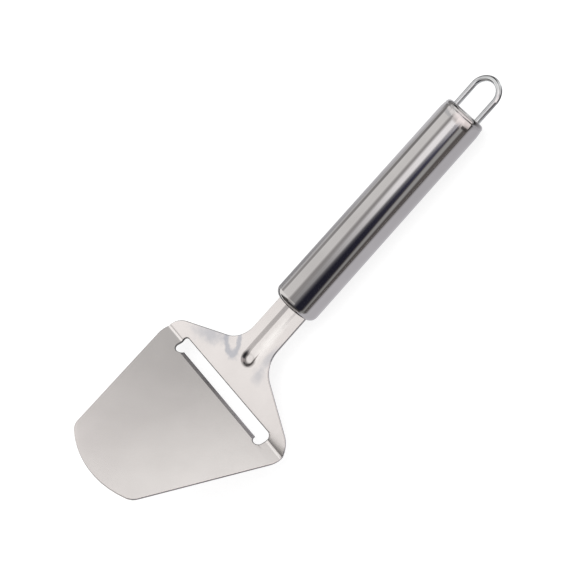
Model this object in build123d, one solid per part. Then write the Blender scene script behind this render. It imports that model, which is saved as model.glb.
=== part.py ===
from build123d import *
import os
from math import cos, hypot, radians, sin, sqrt, tan

# Cheese slicer with a hollow tubular handle, in millimetres.
# The origin is the middle of the fold between front plate and shoulders, on the sheet's top face.
# +Y runs from the fold along the level handle to the hanging loop, +X is sideways and +Z is up.

# Stamped sheet, seen from the side
SHEET = 1.0
PLATE_ANGLE = 33.7
SHOULDER_ANGLE = 5.8
FOLD_RADIUS = 0.6
NECK_BEND_RUN = 20.85
NECK_BEND_RADIUS = 60.0

# Outline of the front plate, measured along it from the fold
PLATE_LENGTH = 65.1
FRONT_CORNER_RUN = 58.9
FRONT_CORNER_RADIUS = 7.0
SIDE_LINE_ANGLE = 19.5

# Widest corner, an arc between the plate's side line and the shoulder line, with its centre just in front of the fold
HEAD_HALF_WIDTH = 42.36
SIDE_CORNER_RADIUS = 10.3
SIDE_CORNER_SETBACK = 1.75
SHOULDER_LINE_ANGLE = 64.6

# Outline of the neck and of the tang inside the handle
NECK_FOOT_HALF_WIDTH = 8.46
NECK_HALF_WIDTH = 8.25
NECK_FILLET_RADIUS = 12.6
TANG_SHOULDER_INSET = 3.2
TANG_HALF_WIDTH = 5.8
TANG_TAIL = 7.0

# Slicing slot, its ground lip and the relief lobes beside the lip
SLOT_HALF_LENGTH = 31.3
SLOT_REAR_RUN = 3.1
SLOT_CORNER_RADIUS = 2.0
RELIEF_RADIUS = 2.23
LIP_RUN = 1.95
LIP_BEVEL = 1.9
LIP_EDGE = 0.15

# Groove pressed down into the neck
BEAD_HALF_WIDTH = 3.7
BEAD_DEPTH = 1.5
BEAD_START_Y = 17.5
BEAD_RIM_RADIUS = 1.2
BEAD_FOOT_RADIUS = 0.8

# Handle tube
HANDLE_START_Y = 46.0
TUBE_LENGTH = 104.6
TUBE_FRONT_RADIUS = 10.2
TUBE_REAR_RADIUS = 9.8
BORE_RADIUS = 9.3
MOUTH_EDGE_RADIUS = 3.5
MOUTH_WALL = 0.9
MOUTH_LIP = 0.5
SWAGE_LENGTH = 2.4
SWAGE_DEPTH = 0.75
SWAGE_RADIUS = 3.0
MOUTH_SLOT_GAP = 0.1

# Plug in the handle's mouth
PLUG_LENGTH = 18.0
PLUG_RECESS = 0.3
SEAT_GAP = 0.05

# End cap and hanging loop
CAP_DEPTH = 6.0
CAP_WALL = 0.8
CAP_FLANGE = 1.4
CAP_FLANGE_INSET = 0.1
CAP_EDGE_CHAMFER = 0.55
SOCKET_WALL = 0.9
SOCKET_FLOOR = 0.8
WIRE_RADIUS = 1.3
LOOP_HALF_SPAN = 6.45
LOOP_REACH = 18.0

# One overrun for every cutter
OVERRUN = 5.0

# The fold's bend and the frames of the two flat faces that it joins
FOLD_HALF_TURN = (PLATE_ANGLE + SHOULDER_ANGLE) / 2
FOLD_TANGENT = FOLD_RADIUS * tan(radians(FOLD_HALF_TURN))
PLATE_PLANE = Plane.XY.rotated((-PLATE_ANGLE, 0, 0))
SHOULDER_PLANE = Plane.XY.rotated((SHOULDER_ANGLE, 0, 0))
NECK_BEND_Y = NECK_BEND_RUN * cos(radians(SHOULDER_ANGLE))
NECK_Z = NECK_BEND_RUN * sin(radians(SHOULDER_ANGLE))
PLUG_FRONT_Y = HANDLE_START_Y + MOUTH_WALL
PLUG_REAR_Y = PLUG_FRONT_Y + PLUG_LENGTH
TANG_END_Y = PLUG_REAR_Y + TANG_TAIL
CAP_SEAT_Y = HANDLE_START_Y + TUBE_LENGTH
CAP_FACE_Y = CAP_SEAT_Y + CAP_FLANGE
MOUTH_RADIUS = TUBE_FRONT_RADIUS - MOUTH_EDGE_RADIUS - MOUTH_LIP
HANDLE_AXIS = Axis((0, 0, NECK_Z), (0, 1, 0))


def corner_point(angle):
    """Point on the widest corner's arc, by its angle from the sideways direction towards the handle."""
    turn = radians(angle)
    x = HEAD_HALF_WIDTH - SIDE_CORNER_RADIUS + SIDE_CORNER_RADIUS * cos(turn)
    y = SIDE_CORNER_RADIUS * sin(turn) - SIDE_CORNER_SETBACK
    return x, y


def fold_half_width():
    """Half of the sheet's width across the fold."""
    reach = sqrt(SIDE_CORNER_RADIUS**2 - SIDE_CORNER_SETBACK**2)
    return HEAD_HALF_WIDTH - SIDE_CORNER_RADIUS + reach


def front_plate():
    """Flat plate in front of the fold, with the slot's front half and the lip's ground bevel."""
    width = fold_half_width()
    arc_end = corner_point(-SIDE_LINE_ANGLE)
    side_run = FRONT_CORNER_RUN + arc_end[1]
    corner = (arc_end[0] - side_run * tan(radians(SIDE_LINE_ANGLE)), -FRONT_CORNER_RUN)
    right_side = [
        RadiusArc((width, -FOLD_TANGENT), arc_end, SIDE_CORNER_RADIUS),
        Line(arc_end, corner),
    ]
    left_side = [edge.mirror(Plane.YZ) for edge in right_side]
    outline = make_face(
        Curve()
        + right_side
        + left_side
        + ThreePointArc((-corner[0], corner[1]), (0, -PLATE_LENGTH), corner)
        + Line((-width, -FOLD_TANGENT), (width, -FOLD_TANGENT))
    )
    outline = fillet(outline.vertices().group_by(Axis.Y)[0], FRONT_CORNER_RADIUS)
    lobe_x = SLOT_HALF_LENGTH - RELIEF_RADIUS
    slot = Pos(0, -LIP_RUN / 2) * Rectangle(2 * SLOT_HALF_LENGTH, LIP_RUN)
    for x in (-lobe_x, lobe_x):
        slot += Pos(x, -LIP_RUN) * Circle(RELIEF_RADIUS)
    plate = extrude(PLATE_PLANE * (outline - slot), -SHEET)
    return plate - lip_bevel(lobe_x)


def lip_bevel(half_length):
    """Wedge that is ground off the lip's top, down to a thin edge at the underside."""
    drop = SHEET - LIP_EDGE
    wedge = Polyline(
        (-LIP_RUN - 2 * LIP_BEVEL, drop),
        (-LIP_RUN + LIP_BEVEL, -2 * drop),
        (-LIP_RUN + LIP_BEVEL, drop),
        close=True,
    )
    side_view = PLATE_PLANE * (Plane.YZ * make_face(wedge))
    return extrude(side_view, half_length, both=True)


def fold():
    """The bend on both sides of the slot."""
    half_turn = radians(FOLD_HALF_TURN)
    lean = radians(PLATE_ANGLE) - half_turn
    reach = FOLD_RADIUS / cos(half_turn)
    centre = (reach * sin(lean), reach * cos(lean))
    start = -90 - PLATE_ANGLE
    inner = CenterArc(centre, FOLD_RADIUS, start, 2 * FOLD_HALF_TURN)
    outer = CenterArc(centre, FOLD_RADIUS + SHEET, start, 2 * FOLD_HALF_TURN)
    section = make_face(Curve() + [inner, outer, Line(inner @ 0, outer @ 0), Line(inner @ 1, outer @ 1)])
    length = fold_half_width() - SLOT_HALF_LENGTH
    right = extrude(Plane.YZ.offset(SLOT_HALF_LENGTH) * section, length)
    return right + mirror(right, Plane.YZ)


def top_run(end_y):
    """Corners of the sheet's top face behind the fold, seen from the side."""
    lean = radians(SHOULDER_ANGLE)
    start = (FOLD_TANGENT * cos(lean), FOLD_TANGENT * sin(lean))
    return [start, (NECK_BEND_Y, NECK_Z), (end_y, NECK_Z)]


def rear_side_view():
    """Shoulders, neck and tang seen from the side, one sheet thick."""
    lean = radians(SHOULDER_ANGLE)
    start, bend, end = top_run(TANG_END_Y)
    mitre = SHEET / cos(lean / 2)
    low_bend = (bend[0] + mitre * sin(lean / 2), bend[1] - mitre * cos(lean / 2))
    low_start = (start[0] + SHEET * sin(lean), start[1] - SHEET * cos(lean))
    section = make_face(Polyline(start, bend, end, (end[0], end[1] - SHEET), low_bend, low_start, close=True))
    section = fillet(section.vertices().sort_by_distance(bend)[0], NECK_BEND_RADIUS + SHEET)
    return fillet(section.vertices().sort_by_distance(low_bend)[0], NECK_BEND_RADIUS)


def rear_outline():
    """Outline of shoulders, neck and tang, drawn on the shoulders' plane."""
    width = fold_half_width()
    arc_end = corner_point(SHOULDER_LINE_ANGLE)
    inset_y = HANDLE_START_Y + TANG_SHOULDER_INSET
    right_side = [
        RadiusArc(arc_end, (width, FOLD_TANGENT), SIDE_CORNER_RADIUS),
        Polyline(
            arc_end,
            (NECK_FOOT_HALF_WIDTH, NECK_BEND_RUN),
            (NECK_HALF_WIDTH, inset_y),
            (TANG_HALF_WIDTH, inset_y),
            (TANG_HALF_WIDTH, TANG_END_Y + OVERRUN),
        ),
    ]
    left_side = [edge.mirror(Plane.YZ) for edge in right_side]
    outline = make_face(
        Curve()
        + right_side
        + left_side
        + Line((-width, FOLD_TANGENT), (width, FOLD_TANGENT))
        + Line((-TANG_HALF_WIDTH, TANG_END_Y + OVERRUN), (TANG_HALF_WIDTH, TANG_END_Y + OVERRUN))
    )
    feet = [
        outline.vertices().sort_by_distance((x, NECK_BEND_RUN))[0]
        for x in (-NECK_FOOT_HALF_WIDTH, NECK_FOOT_HALF_WIDTH)
    ]
    return fillet(feet, NECK_FILLET_RADIUS)


def rear_slot():
    """The slot's rear half, with its two rounded corners."""
    slot = Pos(0, SLOT_REAR_RUN / 2) * Rectangle(2 * SLOT_HALF_LENGTH, SLOT_REAR_RUN)
    return fillet(slot.vertices().group_by(Axis.Y)[-1], SLOT_CORNER_RADIUS)


def bead_radius():
    """Radius of the groove's round floor, from its width and depth."""
    return (BEAD_HALF_WIDTH**2 + BEAD_DEPTH**2) / (2 * BEAD_DEPTH)


def bead_tool(radius, length):
    """A round bar with a ball end, lying along the neck."""
    centre = Pos(0, BEAD_START_Y, NECK_Z + bead_radius() - BEAD_DEPTH)
    bar = extrude(Plane.XZ * Circle(radius), -length)
    return centre * (bar + Sphere(radius))


def bead_edges(sheet, radius, low, high):
    """Edges along one side of the bead: those at a given distance from its centre line, between two heights."""
    centre_z = NECK_Z + bead_radius() - BEAD_DEPTH
    found = ShapeList()
    for edge in sheet.edges():
        middle = edge @ 0.5
        before_ball = min(0, middle.Y - BEAD_START_Y)
        distance = hypot(middle.X, middle.Z - centre_z, before_ball)
        if abs(distance - radius) < SEAT_GAP and low < middle.Z < high:
            found.append(edge)
    return found


def press_bead(sheet):
    """Presses the bead down into the neck and rounds the groove's rim and the foot of its underside."""
    radius = bead_radius()
    start, bend, end = top_run(TANG_END_Y)
    below = make_face(Polyline(start, bend, end, (end[0], -OVERRUN), (start[0], -OVERRUN), close=True))
    below = fillet(below.vertices().sort_by_distance(bend)[0], NECK_BEND_RADIUS + SHEET)
    below = extrude(Plane.YZ * below, NECK_HALF_WIDTH, both=True)
    groove = bead_tool(radius, TANG_END_Y - BEAD_START_Y + OVERRUN)
    shell = bead_tool(radius + SHEET, TANG_END_Y - BEAD_START_Y) - groove
    sheet = sheet - groove + (shell & below)
    rim = bead_edges(sheet, radius, NECK_Z - BEAD_DEPTH / 2, NECK_Z + SHEET / 2)
    sheet = fillet(rim, BEAD_RIM_RADIUS)
    foot = bead_edges(sheet, radius + SHEET, NECK_Z - SHEET - BEAD_DEPTH / 2, NECK_Z - SHEET / 2)
    return fillet(foot, BEAD_FOOT_RADIUS)


def slicer_head():
    """Front plate, fold, shoulders, neck and tang, all one sheet."""
    rear = extrude(Plane.YZ * rear_side_view(), fold_half_width() + OVERRUN, both=True)
    reach = NECK_Z + OVERRUN
    rear &= extrude(SHOULDER_PLANE * rear_outline(), 2 * reach, both=True)
    rear -= extrude(SHOULDER_PLANE * rear_slot(), reach, both=True)
    head = press_bead(rear)
    head = head + front_plate() + fold()
    head.label = "slicer_head"
    return head


def turned(points, rounded):
    """Solid of revolution about the handle's axis, from (y, radius) points; rounded pairs a point with its radius."""
    section = make_face(Polyline(*points, close=True))
    for point, radius in rounded:
        section = fillet(section.vertices().sort_by_distance(point)[0], radius)
    return revolve(Plane.YZ * Pos(0, NECK_Z) * section, HANDLE_AXIS)


def handle_tube():
    """Hollow tapering tube with a straight bore, rounded at the mouth, swaged in at the rear, slotted for the neck."""
    swage_y = CAP_SEAT_Y - SWAGE_LENGTH
    rim_radius = TUBE_REAR_RADIUS - SWAGE_DEPTH
    front = (HANDLE_START_Y, TUBE_FRONT_RADIUS)
    swage = (swage_y, TUBE_REAR_RADIUS)
    mouth_y = HANDLE_START_Y + MOUTH_WALL
    mouth_chamfer = MOUTH_EDGE_RADIUS - MOUTH_WALL
    points = [
        (HANDLE_START_Y, MOUTH_RADIUS),
        front,
        swage,
        (CAP_SEAT_Y, rim_radius),
        (CAP_SEAT_Y, BORE_RADIUS - SWAGE_DEPTH),
        (swage_y, BORE_RADIUS),
        (mouth_y + mouth_chamfer, BORE_RADIUS),
        (mouth_y, BORE_RADIUS - mouth_chamfer),
        (mouth_y, MOUTH_RADIUS),
    ]
    tube = turned(points, [(front, MOUTH_EDGE_RADIUS), (swage, SWAGE_RADIUS)])
    slot_depth = TANG_SHOULDER_INSET + MOUTH_SLOT_GAP
    slot = Box(
        2 * (NECK_HALF_WIDTH + MOUTH_SLOT_GAP),
        OVERRUN + slot_depth,
        SHEET + 2 * MOUTH_SLOT_GAP,
        align=(Align.CENTER, Align.MAX, Align.CENTER),
    )
    tube -= Pos(0, HANDLE_START_Y + slot_depth, NECK_Z - SHEET / 2) * slot
    tube.label = "handle_tube"
    return tube


def front_plug(head):
    """Moulded plug behind the rounded mouth, with a pocket that grips the tang."""
    radius = BORE_RADIUS - SEAT_GAP
    nose_radius = MOUTH_RADIUS - SEAT_GAP
    chamfer_run = MOUTH_EDGE_RADIUS - MOUTH_WALL
    points = [
        (HANDLE_START_Y + PLUG_RECESS, 0),
        (HANDLE_START_Y + PLUG_RECESS, nose_radius),
        (PLUG_FRONT_Y, nose_radius),
        (PLUG_FRONT_Y, radius - chamfer_run),
        (PLUG_FRONT_Y + chamfer_run, radius),
        (PLUG_REAR_Y, radius),
        (PLUG_REAR_Y, 0),
    ]
    plug = turned(points, []) - head
    plug.label = "front_plug"
    return plug


def end_cap():
    """Cup in the handle's rear end, with a flange on the rim and a blind socket for each leg of the loop."""
    base_y = CAP_SEAT_Y - CAP_DEPTH
    plug_radius = BORE_RADIUS - SWAGE_DEPTH - SEAT_GAP
    flange_radius = TUBE_REAR_RADIUS - SWAGE_DEPTH - CAP_FLANGE_INSET
    points = [
        (CAP_SEAT_Y, 0),
        (CAP_SEAT_Y, plug_radius - CAP_WALL),
        (base_y, plug_radius - CAP_WALL),
        (base_y, plug_radius),
        (CAP_SEAT_Y, plug_radius),
        (CAP_SEAT_Y, flange_radius),
        (CAP_FACE_Y - CAP_EDGE_CHAMFER, flange_radius),
        (CAP_FACE_Y, flange_radius - CAP_EDGE_CHAMFER),
        (CAP_FACE_Y, 0),
    ]
    cap = turned(points, [])
    bore_radius = WIRE_RADIUS + SEAT_GAP
    socket = extrude(Plane.XZ * Circle(bore_radius + SOCKET_WALL), -CAP_DEPTH)
    inside = Pos(0, base_y, NECK_Z) * extrude(Plane.XZ * Circle(plug_radius), -CAP_DEPTH)
    bore = extrude(Plane.XZ * Circle(bore_radius), -(CAP_DEPTH + CAP_FLANGE + OVERRUN))
    for x in (-LOOP_HALF_SPAN, LOOP_HALF_SPAN):
        cap += (Pos(x, base_y, NECK_Z) * socket) & inside
    for x in (-LOOP_HALF_SPAN, LOOP_HALF_SPAN):
        cap -= Pos(x, base_y + SOCKET_FLOOR, NECK_Z) * bore
    cap.label = "end_cap"
    return cap


def hanging_loop():
    """Round wire bent to a U, its legs standing on the floors of the cap's sockets."""
    foot_y = CAP_SEAT_Y - CAP_DEPTH + SOCKET_FLOOR
    arch_y = CAP_FACE_Y + LOOP_REACH - WIRE_RADIUS - LOOP_HALF_SPAN
    left_foot = Vector(-LOOP_HALF_SPAN, foot_y, NECK_Z)
    left_top = Vector(-LOOP_HALF_SPAN, arch_y, NECK_Z)
    right_top = Vector(LOOP_HALF_SPAN, arch_y, NECK_Z)
    right_foot = Vector(LOOP_HALF_SPAN, foot_y, NECK_Z)
    crown = Vector(0, arch_y + LOOP_HALF_SPAN, NECK_Z)
    path = Wire(
        [Line(left_foot, left_top), ThreePointArc(left_top, crown, right_top), Line(right_top, right_foot)]
    )
    section = Plane(left_foot, x_dir=(1, 0, 0), z_dir=(0, 1, 0)) * Circle(WIRE_RADIUS)
    loop = sweep(section, path)
    loop.label = "hanging_loop"
    return loop


if __name__ == "__main__":
    head = slicer_head()
    os.makedirs("parts", exist_ok=True)
    for piece in (head, handle_tube(), front_plug(head), end_cap(), hanging_loop()):
        export_step(piece, "parts/" + piece.label + ".step")
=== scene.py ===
from math import atan2, ceil, cos, hypot, pi, radians, sin, sqrt, tan

import bmesh
import bpy
from mathutils import Matrix, Vector


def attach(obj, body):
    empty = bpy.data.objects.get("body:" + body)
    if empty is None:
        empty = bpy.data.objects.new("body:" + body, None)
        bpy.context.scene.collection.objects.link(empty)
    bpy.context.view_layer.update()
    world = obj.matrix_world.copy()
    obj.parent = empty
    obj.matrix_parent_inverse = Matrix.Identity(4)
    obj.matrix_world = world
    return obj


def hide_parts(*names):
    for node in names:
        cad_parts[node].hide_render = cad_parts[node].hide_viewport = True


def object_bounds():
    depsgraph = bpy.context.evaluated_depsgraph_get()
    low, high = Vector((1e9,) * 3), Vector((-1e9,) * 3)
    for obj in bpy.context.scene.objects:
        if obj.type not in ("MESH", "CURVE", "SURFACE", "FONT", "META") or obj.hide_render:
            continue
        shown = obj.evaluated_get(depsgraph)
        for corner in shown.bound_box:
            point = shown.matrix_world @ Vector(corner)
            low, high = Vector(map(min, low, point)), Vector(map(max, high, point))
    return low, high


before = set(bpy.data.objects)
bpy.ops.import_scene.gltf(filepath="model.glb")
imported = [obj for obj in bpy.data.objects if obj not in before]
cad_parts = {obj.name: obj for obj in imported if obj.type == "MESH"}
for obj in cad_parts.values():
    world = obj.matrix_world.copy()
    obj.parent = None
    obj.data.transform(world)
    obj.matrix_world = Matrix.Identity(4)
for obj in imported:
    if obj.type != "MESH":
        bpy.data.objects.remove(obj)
cad_low, cad_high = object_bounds()

bl_info = {
    "name": "Cheese slicer",
    "version": (1, 0, 0),
    "blender": (4, 5, 0),
    "location": "3D View > Sidebar > Cheese slicer",
    "description": "Dresses the cheese slicer's CAD frame with its pieces and its studio",
    "category": "Object",
}

MM = 0.001

# Sheet, in millimetres, as in the CAD model; a run is measured along the sheet from the fold
SHEET = 1.0
PLATE_ANGLE = 33.7
SHOULDER_ANGLE = 5.8
FOLD_RADIUS = 0.6
NECK_BEND_RUN = 20.85
NECK_BEND_RADIUS = 60.0
PLATE_LENGTH = 65.1
FRONT_CORNER_RUN = 58.9
FRONT_CORNER_RADIUS = 7.0
SIDE_LINE_ANGLE = 19.5
HEAD_HALF_WIDTH = 42.36
SIDE_CORNER_RADIUS = 10.3
SIDE_CORNER_SETBACK = 1.75
SHOULDER_LINE_ANGLE = 64.6
NECK_FOOT_HALF_WIDTH = 8.46
NECK_HALF_WIDTH = 8.25
NECK_FILLET_RADIUS = 12.6
TANG_SHOULDER_RUN = 49.2
TANG_HALF_WIDTH = 5.8
TANG_END_RUN = 71.9

# Slot, lip and bead
SLOT_HALF_LENGTH = 31.3
SLOT_REAR_RUN = 3.1
SLOT_CORNER_RADIUS = 2.0
RELIEF_RADIUS = 2.23
LIP_RUN = 1.95
LIP_BEVEL = 1.9
LIP_EDGE = 0.15
SLOT_RIM_RADIUS = 0.46
BEAD_HALF_WIDTH = 3.7
BEAD_DEPTH = 0.75
BEAD_END_DEPTH = 1.1
BEAD_END_LEAD = 2.0
BEAD_END_REACH = 8.0
BEAD_START_RUN = 17.6
BEAD_WALL_RUN = 2.2
BEAD_END_RUN = 1.7
RAMP_ROUNDING = 0.3

# Dip that folding left in the shoulder: where it is deepest, then its reach, depth and the power of its slope
HOLLOW_FOOT = 0.7
HOLLOW_LEFT = (1.7, 0.09, 2)
HOLLOW_RIGHT = (5.4, 0.2, 3)

# Handle and loop
HANDLE_START_Y = 46.0
TUBE_LENGTH = 104.6
TUBE_FRONT_RADIUS = 10.2
TUBE_REAR_RADIUS = 9.8
BORE_RADIUS = 9.3
MOUTH_EDGE_RADIUS = 3.5
MOUTH_WALL = 0.9
MOUTH_RADIUS = 6.2
SWAGE_LENGTH = 2.4
SWAGE_DEPTH = 0.38
SWAGE_RADIUS = 20.0
CAP_FLANGE = 1.4
CAP_FLANGE_INSET = 0.04
CAP_EDGE_RADIUS = 1.9
CAP_SEAM_RADIUS = 0.15
CAP_SEAM_SHIFT = 0.9
CAP_SEAM = 0.16
NECK_SLOT_GAP = 0.25
SOCKET_FOOT_Y = 145.4
WIRE_RADIUS = 1.3
LOOP_HALF_SPAN = 6.45
LOOP_REACH = 18.0

# How far round forms stay inside the CAD frame's facets, and a turned piece stops short of its axis
FRAME_CLEARANCE = 0.03
AXIS_GAP = 0.1

# How finely round forms are drawn, and from what angle up an edge looks sharp
ARC_STEP = radians(6)
RIM_STEPS = 4
TURNED_STEPS = 160
WIRE_STEPS = 32
FOLD_ROWS = 8
HOLLOW_FOOT_ROWS = 5
HOLLOW_ROWS = 7
NECK_BEND_ROWS = 12
BEAD_ROWS = 10
BEAD_COLUMNS = 36
BEAD_END_ROWS = 20
SHARP_ANGLE = radians(28)

# Lines are cut in the flat pattern at one x or at one run. The bead's fine grid goes past its walls by the margin, its
# side lines begin before it by the lead, and the slack keeps the faces outside it whole
AT_X = 0
AT_RUN = 1
BEAD_MARGIN = 0.4
GRID_LEAD = 1.5
GRID_SLACK = 0.01

# Measures that follow from those above
SIDE_CORNER_CENTRE = (HEAD_HALF_WIDTH - SIDE_CORNER_RADIUS, -SIDE_CORNER_SETBACK)
FOLD_HALF_TURN = radians(PLATE_ANGLE + SHOULDER_ANGLE) / 2
FOLD_TANGENT = FOLD_RADIUS * tan(FOLD_HALF_TURN)
NECK_BEND_TANGENT = (NECK_BEND_RADIUS + SHEET) * tan(radians(SHOULDER_ANGLE) / 2)
NECK_Z = NECK_BEND_RUN * sin(radians(SHOULDER_ANGLE))
LOBE_X = SLOT_HALF_LENGTH - RELIEF_RADIUS
LIP_START_RUN = -LIP_RUN - LIP_BEVEL
CAP_FACE_Y = HANDLE_START_Y + TUBE_LENGTH + CAP_FLANGE
SEAM_Y = CAP_FACE_Y - CAP_FLANGE - CAP_SEAM_SHIFT

# Materials of the sheet's faces, and how far the painted highlight along the crease reaches
SATIN = 0
GROUND = 1
SHEARED = 2
CREASE_REACH = 0.7

# Clouds and grains: most of the noise lies between these two values, and the grain is this deep, in millimetres
NOISE_LOW = 0.3
NOISE_HIGH = 0.7
GRAIN_DEPTH = 0.02
# Sockets of a colour mix node, several of which share a name, so that they go by number
MIX_SHARE = 0
MIX_FIRST = 6
MIX_SECOND = 7
MIX_RESULT = 2

# Painted reflections and highlight: middle and reach in x and y, turn in degrees, 1 for a hoop and 0 for a patch,
# strength, colour. Four are painted bluish reflections, the last a painted pale highlight along the neck
PAINTED_REFLECTION_MARKS = (
    ((-11.9, 18.1), (3.3, 6.6), 45, 1, 0.76, "#a9acb4"),
    ((-22.2, 12.3), (13.0, 5.2), 25, 0, 0.6, "#a9acb4"),
    ((8.2, 24.0), (3.0, 9.0), 0, 0, 0.5, "#a9acb4"),
    ((9.5, 15.5), (4.5, 4.5), 0, 0, 0.45, "#a9acb4"),
    ((2.3, 31.0), (3.4, 15.0), 4, 0, 0.5, "#fffefb"),
)
# Their uneven outline, and the shares of a mark's reach at which it begins to fade and is gone
MARK_WAVE = 3.0
MARK_WOBBLE = 0.7
MARK_FULL = 0.1
HOOP_EDGE = 0.5
PATCH_EDGE = 1.1

# Painted shade round the bead's end: middle and radius of its ring, how far off the ring it begins to fade and is
# gone, and the runs at which it does so towards the handle
BEAD_SHADE_MIDDLE = (0.2, BEAD_START_RUN + 0.1)
BEAD_SHADE_RADIUS = 2.75
BEAD_SHADE_EDGES = (0.2, 1.7)
BEAD_SHADE_END_RUNS = (BEAD_START_RUN + 0.2, BEAD_START_RUN + 2.7)
BEAD_SHADE_STRENGTH = 0.78
BEAD_SHADE_COLOUR = "#4b4644"

# Studio, in metres and degrees: cards bend round the handle's axis, at angles up from level on the right, each inside
# those before it. Rear values hold from TENT_REAR_Y on; soft is the width of the two soft edges
TENT_RADIUS = 0.45
TENT_FRONT_Y = -0.014
TENT_REAR_Y = 0.12
TENT_REACH = 1.5
CARD_SPACING = 0.002
CARD_STATIONS = 12
CARD_COLUMNS = 24
CARDS = {
    # What the tube shows along its whole length
    "wall": dict(angles=(-1, 181), level=0.9, rear_level=0.93, colour="#fffdfc", soft=(0.5, 0.5)),
    "left_foot": dict(angles=(169, 181), level=0.62, rear_level=0.6, colour="#fdfcff", soft=(4, 0.5)),
    "left_rail": dict(
        angles=(150, 165), rear_angles=(149, 167), level=0.38, rear_level=0.27, colour="#fffbfb", soft=(7, 5)
    ),
    "grey_gap": dict(
        angles=(76, 99), rear_angles=(84, 105), level=0.4, rear_level=0.42, colour="#fffbfb", soft=(5, 11)
    ),
    "window": dict(angles=(58, 80), rear_angles=(58, 89), level=0.4, rear_level=1.3, colour="#fffdff", soft=(4, 12)),
    "flag_edge": dict(
        angles=(40, 62), rear_angles=(40, 60), level=0.12, rear_level=0.38, colour="#f4f2ff", soft=(4, 10),
        late=True, span=(-TENT_REACH, 0.137), fade=0.012,
    ),
    "right_rail": dict(
        angles=(-1, 24), rear_angles=(-1, 42), level=0.11, rear_level=0.15, colour="#fff4f0", soft=(0.5, 4)
    ),
    "black_flag": dict(
        angles=(17, 51), rear_angles=(37, 49), level=0.035, rear_level=0.12, colour="#ccccff", soft=(7, 10),
        late=True, span=(-TENT_REACH, 0.134), fade=0.012,
    ),
    "tip_edge": dict(angles=(43, 60), level=0.6, colour="#f8f6ff", soft=(4, 8), span=(0.133, TENT_REACH), fade=0.012),
    "flag_tip": dict(angles=(40, 45), level=0.12, colour="#e0e0ff", soft=(3, 3), span=(0.12, TENT_REACH), fade=0.012),
    "slit": dict(angles=(5, 13), rear_angles=(16, 34), level=0.34, rear_level=0.48, colour="#fffefd", soft=(6, 7)),
    # In front of the handle, where the neck and the shoulders look
    "front_grey": dict(angles=(62, 104), level=0.68, colour="#fffcfb", soft=(6, 16), span=(-0.2, -0.03), fade=0.01),
    "front_softbox": dict(
        angles=(100, 150), level=1.13, colour="#fffdfc", soft=(8, 8), span=(-0.23, -0.022), fade=0.015
    ),
    "front_left": dict(angles=(148, 181), level=1.15, colour="#fffdfc", soft=(2, 1), span=(-0.27, -0.03), fade=0.01),
    "front_corner": dict(
        angles=(80, 117), level=0.4, colour="#fffaf4", soft=(8, 5), span=(-0.27, -0.195), fade=0.006
    ),
    "front_left_dark": dict(angles=(132, 181), level=0.08, colour="#fffcfb", soft=(8, 1), span=(-TENT_REACH, -0.29)),
    "front_shade": dict(
        angles=(100, 134), level=0.1, colour="#fffaf4", soft=(8, 6), span=(-TENT_REACH, -0.25), fade=0.035
    ),
    "front_dark": dict(
        angles=(-1, 121), level=0.06, colour="#fffcfb", soft=(1, 6), span=(-TENT_REACH, -0.4), fade=0.04
    ),
    # Behind the handle's end, where the swage, the cap and the loop look
    "window_end": dict(angles=(56, 94), level=0.88, colour="#fff9f8", soft=(6, 8), span=(0.163, 0.3), fade=0.012),
    "wall_end": dict(angles=(106, 150), level=0.72, colour="#fdfdff", soft=(6, 8), span=(0.163, 0.2), fade=0.01),
    "rear_glow_left": dict(
        angles=(104, 160), level=1.15, colour="#fffbfb", soft=(8, 10), span=(0.195, 0.235), fade=0.01
    ),
    "rear_glow_gap": dict(angles=(66, 106), level=1.6, colour="#fff6f5", soft=(6, 10), span=(0.215, 0.3), fade=0.03),
    "rear_glow_flag": dict(angles=(30, 70), level=1.5, colour="#fff6f5", soft=(8, 8), span=(0.18, 0.3), fade=0.04),
    "rear_glow_right": dict(angles=(-1, 34), level=1.2, colour="#fff4f3", soft=(6, 8), span=(0.19, 0.3), fade=0.03),
    "rear_wing": dict(angles=(-1, 100), level=1.2, colour="#fff7f7", soft=(1, 10), span=(0.25, 0.42), fade=0.03),
    "wire_flag": dict(angles=(-1, 32), level=0.08, colour="#fff4f0", soft=(0.5, 6), span=(0.1535, 0.186), fade=0.004),
    # Further back, where the sloping plate looks
    "rear_fill": dict(angles=(96, 131), level=1.13, colour="#fffefd", soft=(12, 2), span=(0.24, 0.5), fade=0.06),
    "rear_shade": dict(angles=(131, 181), level=0.58, colour="#fffefd", soft=(12, 0.5), span=(0.24, 0.5), fade=0.06),
    "rear_dark": dict(angles=(90, 181), level=0.04, colour="#fffcfb", soft=(12, 0.5), span=(0.455, 0.8), fade=0.015),
    "rear_left": dict(angles=(156, 181), level=0.3, colour="#fffcfb", soft=(8, 0.5), span=(0.175, 0.5), fade=0.02),
    "rear_flag": dict(
        angles=(-1, 112), level=0.7, colour="#fffbfa", soft=(1, 10), span=(0.47, TENT_REACH), fade=0.015
    ),
}
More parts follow.
